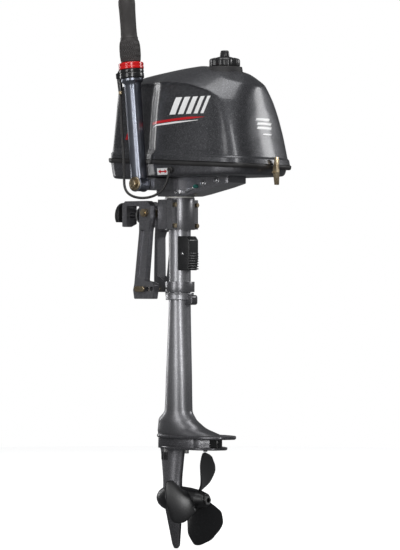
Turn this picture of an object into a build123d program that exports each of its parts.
from build123d import *
import math
import os

os.makedirs("parts", exist_ok=True)

# ---------------------------------------------------------------------------
# Outboard motor.  Millimetres.  +X aft, +Y starboard, +Z up.
# Origin: centre of the underside of the saddle that sits on the transom.
# ---------------------------------------------------------------------------
STEER_X = 70.0            # steering axis, aft of the saddle
TILT_X, TILT_Z = 30.0, -13.5
TILT_BOLT_R = 5.0
ARM_IN, ARM_OUT = 41.0, 57.0   # inner and outer faces of the clamp arms, each side
GAP_FRONT, GAP_BACK = -16.0, 15.0   # jaw face and arm face either side of the transom
JAW_T = 11.0
JAW_IN = 26.0
SCREW_Y, SCREW_Z, SCREW_R = 42.0, -18.0, 4.95
PAD_R = 15.0
THRUST_X, THRUST_Z, THRUST_R = 22.0, -160.0, 4.0

LEG_R = 21.25             # plain upper part of the leg
LEG_WALL = 3.0
SWIVEL_R = 29.0
SWIVEL_TOP, SWIVEL_LOW = 15.0, -46.0
RING_TOP, RING_LOW = -146.0, -166.0
BUSH_R = 24.0

SHAFT_X = 58.0            # crankshaft and drive shaft axis
PROP_Z = -564.0           # propeller axis
MODULE = 1.5
PINION_T, GEAR_T = 13, 24
PROP_R = 93.0
PROP_PITCH = 127.0
SKEG_Z = -661.0

PAN_Z = 54.0              # underside of the lower cowl
SEAM_SLOPE = 3.2          # degrees, down towards the stern
SEAM_Z = 84.0             # height of the seam at the steering axis
WALL = 3.5
TOP_Z = 265.0

CAP_X, CAP_R = 179.0, 29.5
TILLER_X, TILLER_Y, TILLER_Z = 48.0, -96.0, 40.5
TILLER_LEAN = 5.2         # degrees forward of upright
TUBE_R = 14.0


def save(builder, name, node):
    builder.part.label = name
    export_step(builder.part, "parts/" + node + ".step")


def ring_points(points):
    """A closed outline from its starboard half, given bow to stern."""
    return [(x, y) for x, y in points] + [(x, -y) for x, y in reversed(points)]


# ---------------------------------------------------------------- clamp arms
HOOK = [(-27, -40), (-16, -40), (-16, 0), (15, 0), (15, -50), (3, -150), (0, -162), (3, -179), (48, -179),
        (52, -153), (46, -147), (29, -144), (38, -50), (43, -24), (43, 0), (35, 9.6), (-20, 9.6), (-27, 3)]


def arm(side):
    with BuildPart() as part:
        with BuildSketch(Plane.XZ.offset(-side * ARM_IN if side > 0 else ARM_IN)):
            with BuildLine():
                Polyline(*HOOK, close=True)
            make_face()
            fillet(vertices().filter_by_position(Axis.X, -28, 60), 2.4)
        extrude(amount=-side * (ARM_OUT - ARM_IN))
        # jaw, wider than the arm, carrying the clamp screw
        with BuildSketch(Plane.YZ.offset(GAP_FRONT)):
            with BuildLine():
                a, b = side * JAW_IN, side * (ARM_IN + 1)
                Polyline((a, -34), (b, -40), (b, 9.6), (a, 6), close=True)
            make_face()
        extrude(amount=-JAW_T)
        # tilt bolt bore, clamp screw bore, thrust pin holes
        with BuildSketch(Plane.XZ):
            with Locations((TILT_X, TILT_Z)):
                Circle(TILT_BOLT_R + 0.1)
            for k in (-5, 0, 5, 9.2):
                t = math.radians(k)
                u, w = THRUST_X - TILT_X, THRUST_Z - TILT_Z
                with Locations((TILT_X + u * math.cos(t) - w * math.sin(t), TILT_Z + u * math.sin(t) + w * math.cos(t))):
                    Circle(THRUST_R + 0.1)
        extrude(amount=80, both=True, mode=Mode.SUBTRACT)
        with BuildSketch(Plane.YZ.offset(-40)):
            with Locations((side * SCREW_Y, SCREW_Z)):
                Circle(SCREW_R + 0.1)
        extrude(amount=26, mode=Mode.SUBTRACT)
        # lightening pocket down the outer face
        with BuildSketch(Plane.XZ.offset(-side * (ARM_OUT - 5))):
            with BuildLine():
                Polyline((20, -46), (33, -46), (24, -138), (9, -138), close=True)
            make_face()
            fillet(vertices(), 3)
        extrude(amount=-side * 6, mode=Mode.SUBTRACT)
    return part


clamp_arm_port = arm(-1)
clamp_arm_starboard = arm(1)
save(clamp_arm_port, "clamp_arm_port", "clamp_arm_port")
save(clamp_arm_starboard, "clamp_arm_starboard", "clamp_arm_starboard")

with BuildPart() as saddle:
    with BuildSketch(Plane.XY):
        Rectangle(27, 2 * ARM_IN)
    extrude(amount=9)
    with BuildSketch(Plane.XY.offset(9)):
        with GridLocations(0, 26, 1, 3):
            SlotOverall(20, 12)
    extrude(amount=-5, mode=Mode.SUBTRACT)
    fillet(edges().filter_by(Axis.Y).group_by(Axis.Z)[-1], 1.5)
save(saddle, "transom_saddle", "transom_saddle")

# ---------------------------------------------------------------- tilt bolt and thrust pin
with BuildPart() as tilt_bolt:
    with BuildSketch(Plane.XZ.offset(66)):
        with Locations((TILT_X, TILT_Z)):
            Circle(TILT_BOLT_R)
    extrude(amount=-132)
    with BuildSketch(Plane.XZ.offset(57.1)):
        with Locations((TILT_X, TILT_Z)):
            RegularPolygon(8.5, 6)
    extrude(amount=6)
save(tilt_bolt, "tilt_bolt", "tilt_bolt")

with BuildPart() as tilt_hardware:
    with BuildSketch(Plane.XZ.offset(-57.1)):
        with Locations((TILT_X, TILT_Z)):
            RegularPolygon(8.5, 6)
            Circle(TILT_BOLT_R + 0.05, mode=Mode.SUBTRACT)
    extrude(amount=-7)
    for side in (-1, 1):
        with BuildSketch(Plane.XZ.offset(-side * 13.4)):
            with Locations((TILT_X, TILT_Z)):
                Circle(8)
                Circle(TILT_BOLT_R + 0.1, mode=Mode.SUBTRACT)
        extrude(amount=-side * 27.4)
save(tilt_hardware, "tilt_nut_and_spacers", "tilt_nut_and_spacers")

with BuildPart() as thrust_pin:
    with BuildSketch(Plane.XZ.offset(63)):
        with Locations((THRUST_X, THRUST_Z)):
            Circle(THRUST_R)
    extrude(amount=-126)
    # folded wing that locks the pin outside the port arm
    with BuildSketch(Plane.XZ.offset(63)):
        with Locations((THRUST_X, THRUST_Z)):
            SlotOverall(24, 11)
    extrude(amount=4)
    fillet(edges().filter_by(GeomType.CIRCLE).group_by(Axis.Y)[0], 1.2)
save(thrust_pin, "thrust_pin", "thrust_pin")


# ---------------------------------------------------------------- clamp screws, handles and pads
def clamp_screw(side):
    with BuildPart() as part:
        with BuildSketch(Plane.XY.offset(SCREW_Z)):
            with BuildLine():
                y = side * SCREW_Y
                Polyline((-39, y), (-39, y + SCREW_R - 0.6), (-38.4, y + SCREW_R), (0.6, y + SCREW_R), (0.6, y + 3.9),
                         (3.6, y + 3.9), (3.6, y), close=True)
            make_face()
        revolve(axis=Axis((0, side * SCREW_Y, SCREW_Z), (1, 0, 0)))
        # half-moon wing pinned to the screw
        with BuildSketch(Plane.YZ.offset(-37.4)):
            with Locations((side * SCREW_Y, SCREW_Z)):
                Circle(25)
                with Locations((0, -26)):
                    Rectangle(60, 26, mode=Mode.SUBTRACT)
        extrude(amount=6)
        with BuildSketch(Plane.YZ.offset(-38.6)):
            with Locations((side * SCREW_Y, SCREW_Z)):
                Circle(9)
        extrude(amount=9)
        # two finger pockets
        with BuildSketch(Plane.YZ.offset(-37.5)):
            with Locations((side * SCREW_Y - 15, SCREW_Z + 3), (side * SCREW_Y + 15, SCREW_Z + 3)):
                Ellipse(4.6, 7.5)
        extrude(amount=3.5, mode=Mode.SUBTRACT)
    return part


def clamp_pad(side):
    with BuildPart() as part:
        with BuildSketch(Plane.XY.offset(SCREW_Z)):
            with BuildLine():
                y = side * SCREW_Y
                Polyline((1.0, y + 4.3), (1.0, y + 8), (4.5, y + 8), (6, y + PAD_R - 1), (6.5, y + PAD_R), (10, y + PAD_R),
                         (10, y), (4.0, y), (4.0, y + 4.3), close=True)
            make_face()
        revolve(axis=Axis((0, side * SCREW_Y, SCREW_Z), (1, 0, 0)))
    return part


for side, tag in ((-1, "port"), (1, "starboard")):
    save(clamp_screw(side), "clamp_screw_" + tag, "clamp_screw_" + tag)
    save(clamp_pad(side), "clamp_pad_" + tag, "clamp_pad_" + tag)

# ---------------------------------------------------------------- swivel bracket
SPINE_X0, SPINE_X1 = 16.5, 24.0
EAR_Y, EAR_BOLT_Y = 40.2, 34.5
with BuildPart() as swivel_bracket:
    with BuildSketch(Plane.XY.offset(SWIVEL_LOW)):
        with Locations((STEER_X, 0)):
            Circle(SWIVEL_R)
    extrude(amount=SWIVEL_TOP - SWIVEL_LOW)
    # ears that the cap bolts to
    with BuildSketch(Plane.XY.offset(SWIVEL_LOW + 1)):
        with Locations((STEER_X - 12, 0)):
            Rectangle(20, 2 * EAR_Y)
    extrude(amount=SWIVEL_TOP - SWIVEL_LOW - 4)
    with BuildSketch(Plane.XY.offset(SWIVEL_LOW - 1)):
        with Locations((STEER_X + 20, 0)):
            Rectangle(44, 100)
    extrude(amount=80, mode=Mode.SUBTRACT)
    # web and tilt boss
    with BuildSketch(Plane.XZ.offset(13)):
        with BuildLine():
            Polyline((20, -26), (18, -60), (SPINE_X0, -132), (SPINE_X0, -147), (26.8, -149.5), (26.8, RING_LOW), (48, RING_LOW),
                     (48, -148), (34, -140), (25, -134), (24.4, -60), (28, -50), (45, -44), (50, -44), (50, 8), (40, 6), (34, 0), close=True)
        make_face()
    extrude(amount=-26)
    with BuildSketch(Plane.XZ.offset(13)):
        with Locations((TILT_X, TILT_Z)):
            Circle(14)
    extrude(amount=-26)
    # lower ring around the leg
    with BuildSketch(Plane.XY.offset(RING_LOW)):
        with Locations((STEER_X, 0)):
            Circle(28.5)
    extrude(amount=RING_TOP - RING_LOW)
    # bores
    with BuildSketch(Plane.XY.offset(-200)):
        with Locations((STEER_X, 0)):
            Circle(BUSH_R + 0.02)
    extrude(amount=260, mode=Mode.SUBTRACT)
    with BuildSketch(Plane.XZ.offset(40)):
        with Locations((TILT_X, TILT_Z)):
            Circle(TILT_BOLT_R + 0.1)
    extrude(amount=-80, mode=Mode.SUBTRACT)
    with BuildSketch(Plane.YZ.offset(STEER_X - 24)):
        with GridLocations(2 * EAR_BOLT_Y, 40, 2, 2):
            with Locations((0, -18)):
                Circle(2.55)
    extrude(amount=30, mode=Mode.SUBTRACT)
save(swivel_bracket, "swivel_bracket", "swivel_bracket")

with BuildPart() as swivel_cap:
    with BuildSketch(Plane.XY.offset(SWIVEL_LOW)):
        with Locations((STEER_X, 0)):
            Circle(SWIVEL_R)
    extrude(amount=SWIVEL_TOP - SWIVEL_LOW)
    with BuildSketch(Plane.XY.offset(SWIVEL_LOW + 1)):
        with Locations((STEER_X + 6, 0)):
            Rectangle(15, 2 * EAR_Y)
    extrude(amount=SWIVEL_TOP - SWIVEL_LOW - 4)
    with BuildSketch(Plane.XY.offset(SWIVEL_LOW - 1)):
        with Locations((STEER_X - 31.8, 0)):
            Rectangle(60, 100)
    extrude(amount=80, mode=Mode.SUBTRACT)
    with BuildSketch(Plane.XY.offset(-60)):
        with Locations((STEER_X, 0)):
            Circle(BUSH_R + 0.02)
    extrude(amount=100, mode=Mode.SUBTRACT)
    with BuildSketch(Plane.YZ.offset(STEER_X - 5)):
        with GridLocations(2 * EAR_BOLT_Y, 40, 2, 2):
            with Locations((0, -18)):
                Circle(2.55)
    extrude(amount=30, mode=Mode.SUBTRACT)
save(swivel_cap, "swivel_cap", "swivel_cap")

with BuildPart() as swivel_bolts:
    with BuildSketch(Plane.YZ.offset(STEER_X + 13.6)):
        with GridLocations(2 * EAR_BOLT_Y, 40, 2, 2):
            with Locations((0, -18)):
                RegularPolygon(4.6, 6)
    extrude(amount=4)
    with BuildSketch(Plane.YZ.offset(STEER_X - 23)):
        with GridLocations(2 * EAR_BOLT_Y, 40, 2, 2):
            with Locations((0, -18)):
                Circle(2.5)
    extrude(amount=36.8)
save(swivel_bolts, "swivel_bolts", "swivel_bolts")

with BuildPart() as swivel_bushes:
    with BuildSketch(Plane.XY.offset(SWIVEL_LOW)):
        with Locations((STEER_X, 0)):
            Circle(BUSH_R)
            Circle(LEG_R + 0.1, mode=Mode.SUBTRACT)
    extrude(amount=SWIVEL_TOP - SWIVEL_LOW + 2.5)
    with BuildSketch(Plane.XY.offset(SWIVEL_TOP + 0.1)):
        with Locations((STEER_X, 0)):
            Circle(SWIVEL_R - 1)
            Circle(LEG_R + 0.1, mode=Mode.SUBTRACT)
    extrude(amount=2.4)
    with BuildSketch(Plane.XY.offset(RING_LOW)):
        with Locations((STEER_X, 0)):
            Circle(BUSH_R)
            Circle(LEG_R + 0.1, mode=Mode.SUBTRACT)
    extrude(amount=RING_TOP - RING_LOW)
save(swivel_bushes, "swivel_bushes", "swivel_bushes")

# ---------------------------------------------------------------- leg
FOOT_TOP, FOOT_Z = -394.0, -440.0
SECTIONS = [(FOOT_TOP, 30, 22, -3), (-412, 44, 24, -6), (-428, 58, 25, 7), (FOOT_Z, 77, 26, 26)]
with BuildPart() as leg:
    with BuildSketch(Plane.XY.offset(-182)):
        with Locations((STEER_X, 0)):
            Circle(LEG_R)
    extrude(amount=212)
    with BuildSketch(Plane.XY.offset(-182)):
        with Locations((STEER_X, 0)):
            Circle(LEG_R)
    with BuildSketch(Plane.XY.offset(FOOT_TOP)):
        with Locations((STEER_X - 3, 0)):
            Ellipse(30, 22)
    loft(ruled=True)
    for (z0, a0, b0, c0), (z1, a1, b1, c1) in zip(SECTIONS, SECTIONS[1:]):
        with BuildSketch(Plane.XY.offset(z0)):
            with Locations((STEER_X + c0, 0)):
                Ellipse(a0, b0)
        with BuildSketch(Plane.XY.offset(z1)):
            with Locations((STEER_X + c1, 0)):
                Ellipse(a1, b1)
        loft(ruled=True)
    # bore for the drive shaft, exhaust and water tube
    with BuildSketch(Plane.XY.offset(FOOT_Z - 1)):
        with Locations((STEER_X - 2, 0)):
            Circle(17.5)
    extrude(amount=500, mode=Mode.SUBTRACT)
    # water pump chamber
    with BuildSketch(Plane.XY.offset(FOOT_Z - 1)):
        with Locations((SHAFT_X, 0)):
            Circle(13)
    extrude(amount=30, mode=Mode.SUBTRACT)
save(leg, "drive_shaft_housing", "drive_shaft_housing")

with BuildPart() as leg_collar:
    with BuildSketch(Plane.XY.offset(-181)):
        with Locations((STEER_X, 0)):
            Circle(27.5)
    extrude(amount=13.6)
    # short carrying stub pointing aft
    with BuildSketch(Plane.XY.offset(-191)):
        with BuildLine():
            Polyline((STEER_X + 16, -9), (STEER_X + 33, -9), (STEER_X + 37, -5), (STEER_X + 37, 5), (STEER_X + 33, 9), (STEER_X + 16, 9), close=True)
        make_face()
    extrude(amount=20)
    with BuildSketch(Plane.XY.offset(-230)):
        with Locations((STEER_X, 0)):
            Circle(LEG_R + 0.45)
    extrude(amount=49, mode=Mode.SUBTRACT)
    with BuildSketch(Plane.XY.offset(-182)):
        with Locations((STEER_X, 0)):
            Circle(LEG_R)
    extrude(amount=20, mode=Mode.SUBTRACT)
save(leg_collar, "leg_collar", "leg_collar")

with BuildPart() as leg_bumper:
    with BuildSketch(Plane.XY.offset(-125)):
        with BuildLine():
            Polyline((STEER_X + 10, -20), (STEER_X + 37, -20), (STEER_X + 38.5, 8), (STEER_X + 10, 10), close=True)
        make_face()
        fillet(vertices(), 3)
        with Locations((STEER_X, 0)):
            Circle(LEG_R, mode=Mode.SUBTRACT)
    extrude(amount=67)
    with BuildSketch(Plane.XZ.offset(30)):
        with Locations(*[(STEER_X + 38, -122 + 6.5 * i) for i in range(5)]):
            Rectangle(8, 3.2)
    extrude(amount=-60, mode=Mode.SUBTRACT)
save(leg_bumper, "leg_bumper", "leg_bumper")

# splash plate under the foot of the leg
with BuildPart() as splash_plate:
    with BuildSketch(Plane.XY.offset(FOOT_Z - 6)):
        with BuildLine():
            Spline((STEER_X - 53, 0), (STEER_X - 36, 24), (STEER_X + 10, 38), (STEER_X + 70, 38), (STEER_X + 115, 26), (STEER_X + 134, 0))
            Spline((STEER_X + 134, 0), (STEER_X + 115, -26), (STEER_X + 70, -38), (STEER_X + 10, -38), (STEER_X - 36, -24), (STEER_X - 53, 0))
        make_face()
        with Locations((STEER_X - 2, 0)):
            Circle(17.5, mode=Mode.SUBTRACT)
    extrude(amount=5.9)
save(splash_plate, "splash_plate", "splash_plate")

# ---------------------------------------------------------------- gear case
G_X = SHAFT_X
with BuildPart() as gear_case:
    with BuildSketch(Plane.XY.offset(-467)):
        with BuildLine():
            Spline((STEER_X - 50, 0), (STEER_X - 38, 18), (STEER_X + 5, 25), (STEER_X + 45, 21), (STEER_X + 76, 0))
            Spline((STEER_X + 76, 0), (STEER_X + 45, -21), (STEER_X + 5, -25), (STEER_X - 38, -18), (STEER_X - 50, 0))
        make_face()
    extrude(amount=20.9)
    # anti-ventilation plate
    with BuildSketch(Plane.XY.offset(-467)):
        with BuildLine():
            Spline((STEER_X - 46, 0), (STEER_X - 30, 20), (STEER_X + 10, 36), (STEER_X + 60, 36), (STEER_X + 98, 22), (STEER_X + 113, 0))
            Spline((STEER_X + 113, 0), (STEER_X + 98, -22), (STEER_X + 60, -36), (STEER_X + 10, -36), (STEER_X - 30, -20), (STEER_X - 46, 0))
        make_face()
    extrude(amount=5)
    # strut
    with BuildSketch(Plane.XY.offset(-467)):
        with Locations((STEER_X - 17, 0)):
            Ellipse(29, 13)
    with BuildSketch(Plane.XY.offset(-548)):
        with Locations((STEER_X - 17.5, 0)):
            Ellipse(20.5, 12)
    loft(ruled=True)
    # torpedo
    with BuildSketch(Plane.XZ):
        with BuildLine():
            Spline((STEER_X - 54, PROP_Z), (STEER_X - 49, PROP_Z + 11), (STEER_X - 36, PROP_Z + 21), (STEER_X - 20, PROP_Z + 25), tangents=((0, 1), (1, 0.05)))
            Polyline((STEER_X - 20, PROP_Z + 25), (STEER_X + 3, PROP_Z + 24.4), (STEER_X + 3, PROP_Z), (STEER_X - 54, PROP_Z))
        make_face()
    revolve(axis=Axis((0, 0, PROP_Z), (1, 0, 0)))
    # skeg
    with BuildSketch(Plane.XZ.offset(3)):
        with BuildLine():
            Polyline((STEER_X - 38, PROP_Z - 8), (STEER_X + 2, PROP_Z - 8), (STEER_X + 2.5, PROP_Z - 50), (STEER_X - 1, SKEG_Z + 6), (STEER_X - 6, SKEG_Z),
                     (STEER_X - 12, SKEG_Z), (STEER_X - 17, SKEG_Z + 8), close=True)
        make_face()
    extrude(amount=-6)
    # cavity for the bevel gears, open aft
    with BuildSketch(Plane.YZ.offset(G_X - 24)):
        with Locations((0, PROP_Z)):
            Circle(20.6)
    extrude(amount=60, mode=Mode.SUBTRACT)
    with BuildSketch(Plane.YZ.offset(G_X - 36)):
        with Locations((0, PROP_Z)):
            Circle(9.05)
    extrude(amount=20, mode=Mode.SUBTRACT)
    with BuildSketch(Plane.XY.offset(PROP_Z + 10)):
        with Locations((G_X, 0)):
            Circle(11.6)
    extrude(amount=18, mode=Mode.SUBTRACT)
    with BuildSketch(Plane.XY.offset(PROP_Z + 20)):
        with Locations((G_X, 0)):
            Circle(8.05)
    extrude(amount=200, mode=Mode.SUBTRACT)
    # water intake slots on each side
    with BuildSketch(Plane.XZ):
        with Locations(*[(STEER_X - 34 + 6 * i, -480) for i in range(3)]):
            SlotOverall(12, 3, rotation=90)
    extrude(amount=20, both=True, mode=Mode.SUBTRACT)
save(gear_case, "gear_case", "gear_case")

with BuildPart() as bearing_carrier:
    with BuildSketch(Plane.YZ.offset(STEER_X - 0.6)):
        with Locations((0, PROP_Z)):
            Circle(20.55)
            Circle(5.06, mode=Mode.SUBTRACT)
    extrude(amount=3.6)
save(bearing_carrier, "bearing_carrier", "bearing_carrier")

with BuildPart() as anode:
    with BuildSketch(Plane.XY.offset(-461.9)):
        with Locations((STEER_X + 88, 0)):
            Rectangle(22, 16)
            fillet(vertices(), 4)
    extrude(amount=15.8)
save(anode, "anode", "anode")

# ---------------------------------------------------------------- bevel gears
def bevel(teeth, mate, hub_r, hub_len, bore):
    """Bevel gear with its cone apex at the origin and its axis on +Z; the teeth face the apex."""
    m = MODULE
    r_own, r_mate = teeth * m / 2, mate * m / 2
    delta = math.atan2(r_own, r_mate)
    cone = math.hypot(r_own, r_mate)
    inner = 0.70
    s, c = math.sin(delta), math.cos(delta)
    dedendum, addendum = 1.2 * m, 0.75 * m
    root_out = (cone * s - dedendum * c, cone * c + dedendum * s)
    root_in = (root_out[0] * inner, root_out[1] * inner)
    with BuildPart() as part:
        with BuildSketch(Plane.XZ):
            with BuildLine():
                top = root_out[1] + hub_len
                Polyline((bore, root_in[1]), root_in, root_out, (root_out[0], root_out[1] + 1.5), (hub_r, root_out[1] + 3), (hub_r, top), (bore, top), close=True)
            make_face()
        revolve(axis=Axis.Z)
        for i in range(teeth):
            turn = 360.0 * i / teeth
            ca, sa = math.cos(math.radians(turn)), math.sin(math.radians(turn))
            for k in (1.0, inner):
                o = (k * cone * s * ca, k * cone * s * sa, k * cone * c)
                out = (c * ca, c * sa, -s)
                along = (s * ca, s * sa, c)
                with BuildSketch(Plane(origin=o, x_dir=out, z_dir=along)):
                    with BuildLine():
                        d, h = (dedendum + 0.3) * k, addendum * k
                        w0, w1 = 0.86 * m * k, 0.30 * m * k
                        Polyline((-d, -w0), (h, -w1), (h, w1), (-d, w0), close=True)
                    make_face()
            loft(ruled=True)
    return part


pinion_blank = bevel(PINION_T, GEAR_T, 8.0, 12.0, 5.02)
gear_blank = bevel(GEAR_T, PINION_T, 10.0, 9.0, 5.02)
with BuildPart() as pinion:
    add(Pos(SHAFT_X, 0, PROP_Z) * pinion_blank.part)
save(pinion, "pinion", "pinion")
with BuildPart() as driven_gear:
    # axis towards the bow, with a tooth facing up into the pinion's space
    add(Pos(SHAFT_X, 0, PROP_Z) * Rot(0, -90, 0) * gear_blank.part)
save(driven_gear, "driven_gear", "driven_gear")

# ---------------------------------------------------------------- shafts
with BuildPart() as drive_shaft:
    with BuildSketch(Plane.XY.offset(PROP_Z + 12)):
        with Locations((SHAFT_X, 0)):
            Circle(5)
    extrude(amount=60.0 - PROP_Z - 12)
save(drive_shaft, "drive_shaft", "drive_shaft")

with BuildPart() as prop_shaft:
    with BuildSketch(Plane.YZ.offset(SHAFT_X - 34)):
        with Locations((0, PROP_Z)):
            Circle(5)
    extrude(amount=12 + 34 + 66)
save(prop_shaft, "propeller_shaft", "propeller_shaft")

# ---------------------------------------------------------------- propeller
HUB_0, HUB_1 = STEER_X + 4.2, STEER_X + 66
with BuildPart() as propeller:
    with BuildSketch(Plane.XZ):
        with BuildLine():
            Polyline((HUB_0, PROP_Z + 5.05), (HUB_0, PROP_Z + 23.5), (HUB_0 + 30, PROP_Z + 22), (HUB_1 - 8, PROP_Z + 18), (HUB_1, PROP_Z + 13), (HUB_1, PROP_Z + 5.05), close=True)
        make_face()
    revolve(axis=Axis((0, 0, PROP_Z), (1, 0, 0)))
    for angle in (60, 180, 300):
        t = math.radians(angle)
        radial = (0, math.cos(t), math.sin(t))       # outwards along the blade
        tangent = (0, math.sin(t), -math.cos(t))     # the way the leading edge goes, clockwise from astern
        for r, chord, thick in ((16, 44, 7), (36, 64, 5.2), (58, 72, 4), (78, 62, 3), (89, 36, 2.2), (PROP_R, 10, 1.6)):
            beta = math.atan2(PROP_PITCH, 2 * math.pi * max(r, 24))
            x_dir = (-math.sin(beta), tangent[1] * math.cos(beta), tangent[2] * math.cos(beta))
            with BuildSketch(Plane(origin=(STEER_X + 40, r * radial[1], PROP_Z + r * radial[2]), x_dir=x_dir, z_dir=radial)):
                with BuildLine():
                    Polyline(*[(chord / 2 * math.cos(2 * math.pi * i / 14), thick / 2 * math.sin(2 * math.pi * i / 14)) for i in range(14)], close=True)
                make_face()
        loft()
save(propeller, "propeller", "propeller")

with BuildPart() as prop_nut:
    with BuildSketch(Plane.YZ.offset(HUB_1 + 0.1)):
        with Locations((0, PROP_Z)):
            RegularPolygon(9, 6)
            Circle(5.02, mode=Mode.SUBTRACT)
    extrude(amount=3.8)
save(prop_nut, "propeller_nut", "propeller_nut")

# ---------------------------------------------------------------- engine base and tiller lug
with BuildPart() as engine_base:
    with BuildSketch(Plane.XZ.offset(30)):
        with BuildLine():
            Polyline((STEER_X - 37, 29), (STEER_X - 30, 18.2), (STEER_X + 32, 18.2), (STEER_X + 54, 22), (STEER_X + 110, 34), (STEER_X + 140, 42), (STEER_X + 140, 53.8), (STEER_X - 37, 53.8), close=True)
        make_face()
    extrude(amount=-60)
    fillet(edges().filter_by(Axis.Z), 6)
    # steering arm to the tiller pivot, port side
    with BuildSketch(Plane.XY.offset(30)):
        with BuildLine():
            Polyline((STEER_X - 37, -10), (STEER_X + 20, -10), (STEER_X + 16, -40), (STEER_X + 2, -80.5), (STEER_X - 36, -80.5), (STEER_X - 37, -40), close=True)
        make_face()
    extrude(amount=21)
    with BuildSketch(Plane.XY.offset(0)):
        with Locations((STEER_X, 0)):
            Circle(LEG_R + 0.05)
    extrude(amount=30.1, mode=Mode.SUBTRACT)
    with BuildSketch(Plane.XY.offset(0)):
        with Locations((STEER_X - 2, 0)):
            Circle(17.5)
    extrude(amount=80, mode=Mode.SUBTRACT)
    with BuildSketch(Plane.XZ.offset(60)):
        with Locations((TILLER_X, TILLER_Z)):
            Circle(4.05)
    extrude(amount=30, mode=Mode.SUBTRACT)
save(engine_base, "engine_base", "engine_base")

# ---------------------------------------------------------------- lower cowl
RIM = [(-134, 44), (-120, 58), (-24, 70), (6, 92), (70, 98.5), (150, 94), (212, 82), (224, 38)]
LOW = [(-126, 40), (-112, 52), (-24, 65), (8, 86), (70, 92), (150, 88), (200, 74), (212, 34)]


def outline(points, inset=0.0):
    """Half outline moved in by inset towards the middle."""
    out = []
    for x, y in points:
        fx = x + inset if x < -100 else (x - inset if x > 180 else x)
        out.append((STEER_X + fx, y - inset))
    return ring_points(out)


def cowl_loft(levels, inset=0.0):
    with BuildPart() as part:
        for z, pts in levels:
            with BuildSketch(Plane.XY.offset(z)):
                with BuildLine():
                    Polyline(*outline(pts, inset), close=True)
                make_face()
                fillet(vertices(), 9.0)
        loft(ruled=True)
    return part


SEAM = Plane(origin=(STEER_X, 0, SEAM_Z), x_dir=(math.cos(math.radians(SEAM_SLOPE)), 0, -math.sin(math.radians(SEAM_SLOPE))), z_dir=(math.sin(math.radians(SEAM_SLOPE)), 0, math.cos(math.radians(SEAM_SLOPE))))
pan_outer = cowl_loft(((PAN_Z, LOW), (104, RIM)))
pan_inner = cowl_loft(((PAN_Z + WALL, LOW), (110, RIM)), WALL)
with BuildPart() as lower_cowl:
    add(pan_outer.part)
    add(pan_inner.part, mode=Mode.SUBTRACT)
    split(bisect_by=SEAM, keep=Keep.BOTTOM)
    # grip lip under the bow end
    with BuildSketch(Plane.XZ.offset(42)):
        with BuildLine():
            Polyline((STEER_X - 126, PAN_Z + 0.5), (STEER_X - 120, 37), (STEER_X - 113, 37), (STEER_X - 113, PAN_Z + 0.5), close=True)
        make_face()
    extrude(amount=-84)
    # latch bracket on the stern
    with BuildSketch(Plane.XZ.offset(9)):
        with BuildLine():
            x = STEER_X + 224
            Polyline((x - 16, 56), (x - 14, 68), (x + 2, 68), (x + 9, 63), (x + 9, 56), (x - 3, 54.5), close=True)
        make_face()
    extrude(amount=-18)
    with BuildSketch(Plane.XZ.offset(5.4)):
        with Locations((STEER_X + 232, 62)):
            Rectangle(17, 26)
    extrude(amount=-10.8, mode=Mode.SUBTRACT)
    with BuildSketch(Plane.XZ.offset(20)):
        with Locations((STEER_X + 229, 60)):
            Circle(2.06)
    extrude(amount=-40, mode=Mode.SUBTRACT)
    # drive shaft and exhaust opening in the floor, starter rope hole, choke and stop holes in the bow wall
    with BuildSketch(Plane.XY.offset(PAN_Z - 1)):
        with Locations((STEER_X - 2, 0)):
            Circle(17.5)
    extrude(amount=10, mode=Mode.SUBTRACT)
    with BuildSketch(Plane.YZ.offset(STEER_X - 140)):
        with Locations((0, 74)):
            Circle(3.2)
        with Locations((32, 74)):
            Circle(4.3)
        with Locations((-30, 74)):
            Circle(7.3)
    extrude(amount=30, mode=Mode.SUBTRACT)
    # fuel cock slot and cable hole, starboard and port sides
    with BuildSketch(Plane.XZ.offset(110)):
        with Locations((STEER_X + 52, 66)):
            Circle(4)
    extrude(amount=-40, mode=Mode.SUBTRACT)
    with BuildSketch(Plane.XZ.offset(-70)):
        with Locations((STEER_X + 60, 68)):
            Circle(5.05)
    extrude(amount=-40, mode=Mode.SUBTRACT)
save(lower_cowl, "lower_cowl", "lower_cowl")

with BuildPart() as cowl_seal:
    with BuildSketch(SEAM.offset(0.05)):
        with BuildLine():
            Polyline(*[(x - STEER_X, y) for x, y in outline(RIM, 1.0)], close=True)
        make_face()
        fillet(vertices(), 9)
        with BuildLine(mode=Mode.PRIVATE) as inner_line:
            Polyline(*[(x - STEER_X, y) for x, y in outline(RIM, 6.0)], close=True)
        with BuildSketch(mode=Mode.PRIVATE) as hole:
            make_face(inner_line.edges())
            fillet(hole.vertices(), 6)
        add(hole.sketch, mode=Mode.SUBTRACT)
    extrude(amount=3.2)
save(cowl_seal, "cowl_seal", "cowl_seal")

# ---------------------------------------------------------------- top cowl
L1 = [(-130, 42), (-115, 56), (-23, 67), (5, 88), (70, 94.5), (146, 90), (199, 78), (211, 36)]
L2 = [(-128, 38), (-113, 51), (-23, 60), (4, 80), (70, 86), (140, 82), (186, 70), (197, 32)]
L3 = [(-122, 28), (-106, 38), (-22, 48), (4, 62), (68, 68), (128, 64), (166, 52), (175, 24)]
levels = ((70, RIM), (130, L1), (196, L2), (TOP_Z + 4, L3))
cowl_outer = cowl_loft(levels)
cowl_inner = cowl_loft(levels, WALL)
TOP_LINE = [(-142, 60), (-142, 226), (-132, 238), (-86, 250), (-7, 261.5), (38, TOP_Z), (100, 262), (150, 253.5), (182, 236), (198, 196), (222, 120), (232, 60)]


def side_profile(drop):
    with BuildPart() as part:
        with BuildSketch(Plane.XZ.offset(120)):
            with BuildLine():
                Polyline(*[(STEER_X + x, z - (drop if z > 200 else 0)) for x, z in TOP_LINE], close=True)
            make_face()
        extrude(amount=-240)
    return part


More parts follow.
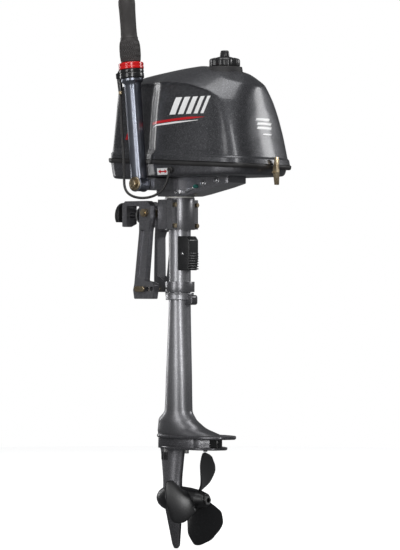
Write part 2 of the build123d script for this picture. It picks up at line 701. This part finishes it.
with BuildPart() as top_cowl:
    add(cowl_outer.part)
    add(side_profile(0).part, mode=Mode.INTERSECT)
    with BuildPart(mode=Mode.PRIVATE) as hollow:
        add(cowl_inner.part)
        add(side_profile(WALL).part, mode=Mode.INTERSECT)
    add(hollow.part, mode=Mode.SUBTRACT)
    split(bisect_by=SEAM.offset(3.3), keep=Keep.TOP)
    with BuildSketch(Plane.XY.offset(200)):
        with Locations((CAP_X, 0)):
            Circle(CAP_R + 2)
    extrude(amount=100, mode=Mode.SUBTRACT)
    # latch hook
    with BuildSketch(Plane.XZ.offset(7)):
        with BuildLine():
            x = STEER_X + 222
            Polyline((x - 6, 88), (x + 8, 88), (x + 8, 91), (x + 11, 91), (x + 11, 99), (x - 6, 104), close=True)
        make_face()
    extrude(amount=-14)
save(top_cowl, "top_cowl", "top_cowl")

# ---------------------------------------------------------------- power head
with BuildPart() as crankcase:
    with BuildSketch(Plane.XY.offset(PAN_Z + WALL + 0.1)):
        with Locations((SHAFT_X, 0)):
            Circle(40)
    extrude(amount=70)
    with BuildSketch(Plane.YZ.offset(SHAFT_X)):
        with Locations((0, 94)):
            Rectangle(60, 62)
    extrude(amount=44)
    # crank chamber, open aft to the cylinder, and shaft bores
    with BuildSketch(Plane.XY.offset(68)):
        with Locations((SHAFT_X, 0)):
            Circle(33)
    extrude(amount=50, mode=Mode.SUBTRACT)
    with BuildSketch(Plane.XY.offset(50)):
        with Locations((SHAFT_X, 0)):
            Circle(9.05)
    extrude(amount=90, mode=Mode.SUBTRACT)
    with BuildSketch(Plane.YZ.offset(SHAFT_X)):
        with Locations((0, 94)):
            Circle(21)
    extrude(amount=60, mode=Mode.SUBTRACT)
save(crankcase, "crankcase", "crankcase")

with BuildPart() as cylinder:
    with BuildSketch(Plane.YZ.offset(SHAFT_X + 44.2)):
        with Locations((0, 94)):
            Rectangle(56, 56)
            fillet(vertices(), 6)
    extrude(amount=54)
    with BuildSketch(Plane.YZ.offset(SHAFT_X + 40)):
        with Locations((0, 94)):
            Circle(21)
    extrude(amount=70, mode=Mode.SUBTRACT)
    with BuildSketch(Plane.XZ.offset(40)):
        with Locations(*[(SHAFT_X + 52 + 8 * i, 94) for i in range(6)]):
            Rectangle(3, 80)
    extrude(amount=-13, mode=Mode.SUBTRACT)
save(cylinder, "cylinder", "cylinder")

with BuildPart() as cylinder_head:
    with BuildSketch(Plane.YZ.offset(SHAFT_X + 98.4)):
        with Locations((0, 94)):
            Rectangle(56, 56)
            fillet(vertices(), 6)
    extrude(amount=14)
    with BuildSketch(Plane.YZ.offset(SHAFT_X + 90)):
        with Locations((0, 94)):
            Circle(6.05)
    extrude(amount=40, mode=Mode.SUBTRACT)
save(cylinder_head, "cylinder_head", "cylinder_head")

with BuildPart() as hex_bolts:
    with BuildSketch(Plane.YZ.offset(SHAFT_X + 112.5)):
        with Locations((0, 94)):
            with GridLocations(42, 42, 2, 2):
                RegularPolygon(5, 6)
    extrude(amount=4)
    with BuildSketch(Plane.XY.offset(-474)):
        with Locations((STEER_X + 40, 29), (STEER_X + 40, -29), (STEER_X - 14, 27), (STEER_X - 14, -27)):
            RegularPolygon(4.4, 6)
    extrude(amount=6.9)
save(hex_bolts, "hex_bolts", "hex_bolts")

with BuildPart() as piston:
    with BuildSketch(Plane.YZ.offset(SHAFT_X + 60)):
        with Locations((0, 94)):
            Circle(20.9)
    extrude(amount=34)
    with BuildSketch(Plane.YZ.offset(SHAFT_X + 59)):
        with Locations((0, 94)):
            Circle(17)
    extrude(amount=26, mode=Mode.SUBTRACT)
save(piston, "piston", "piston")

with BuildPart() as spark_plug:
    with BuildSketch(Plane.XY.offset(94)):
        with BuildLine():
            x = SHAFT_X + 100
            Polyline((x, 0), (x, 6), (x + 12.5, 6), (x + 12.5, 10), (x + 20, 10), (x + 20, 6), (x + 34, 5), (x + 34, 0), close=True)
        make_face()
    revolve(axis=Axis((0, 0, 94), (1, 0, 0)))
save(spark_plug, "spark_plug", "spark_plug")

with BuildPart() as crankshaft:
    for z0, z1, r in ((60.1, 76, 9), (76, 86, 30), (86, 102, 7.5), (102, 112, 30), (112, 150, 9)):
        with BuildSketch(Plane.XY.offset(z0)):
            with Locations((SHAFT_X + (14 if r == 7.5 else 0), 0)):
                Circle(r)
        extrude(amount=z1 - z0)
save(crankshaft, "crankshaft", "crankshaft")

with BuildPart() as flywheel:
    with BuildSketch(Plane.XY.offset(136)):
        with Locations((SHAFT_X, 0)):
            Circle(54)
            Circle(9.02, mode=Mode.SUBTRACT)
    extrude(amount=18)
    with BuildSketch(Plane.XY.offset(148)):
        with Locations((SHAFT_X, 0)):
            with PolarLocations(34, 8):
                Circle(6)
    extrude(amount=10, mode=Mode.SUBTRACT)
    with BuildSketch(Plane.XY.offset(154)):
        with Locations((SHAFT_X, 0)):
            with PolarLocations(50, 24):
                Rectangle(7, 2)
    extrude(amount=5)
save(flywheel, "flywheel", "flywheel")

with BuildPart() as starter_housing:
    with BuildSketch(Plane.XY.offset(164)):
        with Locations((SHAFT_X, 0)):
            Circle(58)
    extrude(amount=22)
    fillet(edges().group_by(Axis.Z)[-1], 8)
    with BuildSketch(Plane.XY.offset(163)):
        with Locations((SHAFT_X, 0)):
            Circle(55)
    extrude(amount=19, mode=Mode.SUBTRACT)
    for a in (20, 140, 260):
        with BuildSketch(Plane.XY.offset(127.9)):
            with Locations((SHAFT_X + 56.6 * math.cos(math.radians(a)), 56.6 * math.sin(math.radians(a)))):
                Circle(1.35)
        extrude(amount=40)
save(starter_housing, "starter_housing", "starter_housing")

with BuildPart() as fuel_tank:
    with BuildSketch(Plane.XY.offset(196)):
        with BuildLine():
            Polyline((STEER_X + 60, -44), (STEER_X + 148, -44), (STEER_X + 160, -24), (STEER_X + 160, 24), (STEER_X + 148, 44), (STEER_X + 60, 44), close=True)
        make_face()
        fillet(vertices(), 8)
    extrude(amount=42)
    with BuildSketch(Plane.XY.offset(238)):
        with Locations((CAP_X, 0)):
            Circle(21)
    extrude(amount=28)
    with BuildSketch(Plane.XY.offset(199)):
        with Locations((STEER_X + 106, 0)):
            Rectangle(86, 78)
    extrude(amount=36, mode=Mode.SUBTRACT)
    with BuildSketch(Plane.XY.offset(230)):
        with Locations((CAP_X, 0)):
            Circle(17)
    extrude(amount=60, mode=Mode.SUBTRACT)
save(fuel_tank, "fuel_tank", "fuel_tank")

with BuildPart() as fuel_cap:
    with BuildSketch(Plane.XY.offset(263)):
        with Locations((CAP_X, 0)):
            Circle(CAP_R)
            with PolarLocations(CAP_R + 1.5, 16):
                Circle(3, mode=Mode.SUBTRACT)
    extrude(amount=19)
    fillet(edges().group_by(Axis.Z)[-1], 3)
    with BuildSketch(Plane.XY.offset(262)):
        with Locations((CAP_X, 0)):
            Circle(21.4)
    extrude(amount=12, mode=Mode.SUBTRACT)
    with BuildSketch(Plane.XY.offset(270)):
        with Locations((CAP_X, 0)):
            Circle(3.05)
    extrude(amount=20, mode=Mode.SUBTRACT)
save(fuel_cap, "fuel_cap", "fuel_cap")

with BuildPart() as vent_knob:
    with BuildSketch(Plane.XY.offset(282.4)):
        with Locations((CAP_X, 0)):
            Circle(10)
            with PolarLocations(11, 10):
                Circle(1.8, mode=Mode.SUBTRACT)
    extrude(amount=12)
    with BuildSketch(Plane.XY.offset(276)):
        with Locations((CAP_X, 0)):
            Circle(3)
    extrude(amount=7)
save(vent_knob, "vent_knob", "vent_knob")

with BuildPart() as carburettor:
    with BuildSketch(Plane.YZ.offset(SHAFT_X - 41)):
        with Locations((0, 94)):
            Circle(17)
    extrude(amount=-34)
    with BuildSketch(Plane.XY.offset(66)):
        with Locations((SHAFT_X - 58, 0)):
            Circle(15)
    extrude(amount=60)
    with BuildSketch(Plane.YZ.offset(SHAFT_X - 30)):
        with Locations((0, 94)):
            Circle(9)
    extrude(amount=-60, mode=Mode.SUBTRACT)
save(carburettor, "carburettor", "carburettor")

with BuildPart() as air_silencer:
    with BuildSketch(Plane.YZ.offset(SHAFT_X - 75.4)):
        with Locations((0, 108)):
            Rectangle(64, 52)
            fillet(vertices(), 8)
    extrude(amount=-22)
save(air_silencer, "air_silencer", "air_silencer")

with BuildPart() as ignition_coil:
    with BuildSketch(Plane.XY.offset(84)):
        with Locations((SHAFT_X + 62, 46)):
            Rectangle(34, 24)
            fillet(vertices(), 3)
    extrude(amount=36)
save(ignition_coil, "ignition_coil", "ignition_coil")

with BuildPart() as impeller:
    with BuildSketch(Plane.XY.offset(-432)):
        with Locations((SHAFT_X, 0)):
            Circle(7.5)
            with PolarLocations(0, 6):
                with Locations((9, 0)):
                    Rectangle(5, 2.2)
            Circle(5.02, mode=Mode.SUBTRACT)
    extrude(amount=12)
save(impeller, "impeller", "impeller")

with BuildPart() as water_tube:
    with BuildSketch(Plane.XY.offset(-436)):
        with Locations((STEER_X + 8, 0)):
            Circle(4)
            Circle(3, mode=Mode.SUBTRACT)
    extrude(amount=436 + 50)
save(water_tube, "water_tube", "water_tube")

# ---------------------------------------------------------------- controls in the bow wall of the lower cowl
with BuildPart() as starter_grip:
    with BuildSketch(Plane.XY.offset(74)):
        with BuildLine():
            x = STEER_X - 133.5
            Polyline((x, 0), (x, 6), (x - 5, 6), (x - 8, 21), (x - 15, 21), (x - 19, 15), (x - 19, 0), close=True)
        make_face()
        mirror(about=Plane.XZ)
    extrude(amount=7, both=True)
    fillet(edges().filter_by(Axis.Z), 2)
save(starter_grip, "starter_grip", "starter_grip")

with BuildPart() as starter_rope:
    with BuildSketch(Plane.YZ.offset(STEER_X - 133)):
        with Locations((0, 74)):
            Circle(2)
    extrude(amount=36)
save(starter_rope, "starter_rope", "starter_rope")

with BuildPart() as choke_knob:
    with BuildSketch(Plane.XY.offset(74)):
        with BuildLine():
            x = STEER_X - 133.5
            Polyline((x + 26, 32), (x + 26, 36), (x, 36), (x, 40), (x - 8, 40), (x - 8, 32), close=True)
        make_face()
    revolve(axis=Axis((0, 32, 74), (1, 0, 0)))
save(choke_knob, "choke_knob", "choke_knob")

with BuildPart() as stop_button:
    with BuildSketch(Plane.YZ.offset(STEER_X - 137)):
        with Locations((-30, 74)):
            Circle(7)
    extrude(amount=20)
save(stop_button, "stop_button", "stop_button")

with BuildPart() as fuel_cock:
    with BuildSketch(Plane.XZ.offset(-85)):
        with Locations((STEER_X + 60, 68)):
            Circle(5)
    extrude(amount=-14.5)
    with BuildSketch(Plane.XZ.offset(-99.5)):
        with Locations((STEER_X + 70, 68)):
            SlotOverall(32, 10)
    extrude(amount=-5)
save(fuel_cock, "fuel_cock", "fuel_cock")

# ---------------------------------------------------------------- stern latch
LATCH_X, LATCH_Z = STEER_X + 229, 60.0
with BuildPart() as latch_lever:
    with BuildSketch(Plane.XZ.offset(4.8)):
        with BuildLine():
            x = LATCH_X
            Polyline((x - 3, 63), (x + 2, 88), (x + 4.5, 88), (x + 6, 60), (x + 5, 36), (x + 1, 36), (x - 2, 56), close=True)
        make_face()
    extrude(amount=-9.6)
    with BuildSketch(Plane.XZ.offset(9)):
        with Locations((LATCH_X, LATCH_Z)):
            Circle(2)
    extrude(amount=-18)
save(latch_lever, "latch_lever", "latch_lever")

# ---------------------------------------------------------------- tiller
LEAN = math.radians(TILLER_LEAN)
AX = (-math.sin(LEAN), 0, math.cos(LEAN))
ACROSS = (math.cos(LEAN), 0, math.sin(LEAN))
TILLER = Plane(origin=(TILLER_X, TILLER_Y, TILLER_Z), x_dir=ACROSS, z_dir=AX)
TUBE_TOP, GRIP_TOP = 202.0, 357.0

with BuildPart() as tiller_tube:
    with BuildSketch(TILLER.offset(10)):
        Circle(TUBE_R)
    extrude(amount=TUBE_TOP - 10)
    with BuildSketch(Plane.XZ.offset(-TILLER_Y + 13.6)):
        with Locations((TILLER_X, TILLER_Z)):
            Circle(15)
    extrude(amount=-27.2)
    with BuildSketch(TILLER.offset(TUBE_TOP - 6)):
        Circle(21)
    extrude(amount=6)
    with BuildSketch(TILLER.offset(20)):
        Circle(TUBE_R - 2.5)
    extrude(amount=TUBE_TOP, mode=Mode.SUBTRACT)
    with BuildSketch(Plane.XZ.offset(60)):
        with Locations((TILLER_X, TILLER_Z)):
            Circle(4.05)
    extrude(amount=60, mode=Mode.SUBTRACT)
save(tiller_tube, "tiller_tube", "tiller_tube")

with BuildPart() as tiller_bolt:
    with BuildSketch(Plane.XZ.offset(66)):
        with Locations((TILLER_X, TILLER_Z)):
            Circle(4)
    extrude(amount=-TILLER_Y + 16.2 - 66)
    with BuildSketch(Plane.XZ.offset(-TILLER_Y + 16.2)):
        with Locations((TILLER_X, TILLER_Z)):
            RegularPolygon(7.5, 6)
    extrude(amount=5.5)
    with BuildSketch(Plane.XZ.offset(-TILLER_Y + 14.1)):
        with Locations((TILLER_X, TILLER_Z)):
            Circle(13.2)
    extrude(amount=2.2)
save(tiller_bolt, "tiller_bolt", "tiller_bolt")

with BuildPart() as throttle_housing:
    with BuildSketch(TILLER.offset(TUBE_TOP + 0.1)):
        Circle(23.5)
    extrude(amount=17)
    with BuildSketch(TILLER.offset(TUBE_TOP + 0.1)):
        with Locations((-27, 0)):
            Rectangle(16, 12)
    extrude(amount=17)
    with BuildSketch(TILLER.offset(TUBE_TOP - 26.2)):
        with Locations((-30.5, 0)):
            Circle(4)
    extrude(amount=27)
    with BuildSketch(TILLER.offset(TUBE_TOP - 20)):
        Circle(8)
    extrude(amount=60, mode=Mode.SUBTRACT)
save(throttle_housing, "throttle_housing", "throttle_housing")

with BuildPart() as friction_ring:
    with BuildSketch(TILLER.offset(TUBE_TOP + 17.4)):
        Circle(24)
        Circle(8.4, mode=Mode.SUBTRACT)
    extrude(amount=13)
save(friction_ring, "friction_ring", "friction_ring")

with BuildPart() as throttle_grip:
    with BuildSketch(Plane(origin=TILLER.origin, x_dir=ACROSS, z_dir=(0, -1, 0))):
        with BuildLine():
            z0 = TUBE_TOP + 30.7
            Polyline((0, z0 - 44), (7.6, z0 - 44), (7.6, z0), (20, z0), (20, z0 + 46), (16, z0 + 52), (15.5, GRIP_TOP - 6), (16.4, GRIP_TOP - 3), (13, GRIP_TOP), (0, GRIP_TOP), close=True)
        make_face()
    revolve(axis=Axis(TILLER.origin, AX))
save(throttle_grip, "throttle_grip", "throttle_grip")


# ---------------------------------------------------------------- throttle cable
def at(u, y, w):
    """Point in the tiller's own plane: u aft of its axis, w up it."""
    return (TILLER_X + ACROSS[0] * u + AX[0] * w, y, TILLER_Z + ACROSS[2] * u + AX[2] * w)


CABLE = [at(-30.5, TILLER_Y, 175.5), at(-31, TILLER_Y - 2, 150), at(-29, TILLER_Y - 6, 105), at(-27, TILLER_Y - 8, 62), (TILLER_X - 25, TILLER_Y - 15, 56),
         (TILLER_X - 18, TILLER_Y - 25, 30), (TILLER_X + 4, TILLER_Y - 29, 15), (TILLER_X + 32, TILLER_Y - 24, 11), (TILLER_X + 58, TILLER_Y - 13, 18), (STEER_X + 50, TILLER_Y - 7, 36), (STEER_X + 52, TILLER_Y - 1, 64)]
radii = []
for a, b, c in zip(CABLE, CABLE[1:], CABLE[2:]):
    p, q = Vector(*b) - Vector(*a), Vector(*c) - Vector(*b)
    turn = math.radians(max(p.get_angle(q), 0.5))
    radii.append(0.45 * min(p.length, q.length) / math.tan(turn / 2))
print("cable radii", [round(r, 1) for r in radii])
with BuildPart() as throttle_cable:
    with BuildLine() as route:
        FilletPolyline(*CABLE, radius=radii)
    with BuildSketch(Plane(origin=CABLE[0], z_dir=(Vector(*CABLE[1]) - Vector(*CABLE[0])).normalized())):
        Circle(2.5)
    sweep(path=route.wires()[0])
print("cable", throttle_cable.part.volume, math.pi * 6.25 * route.wires()[0].length)
save(throttle_cable, "throttle_cable", "throttle_cable")
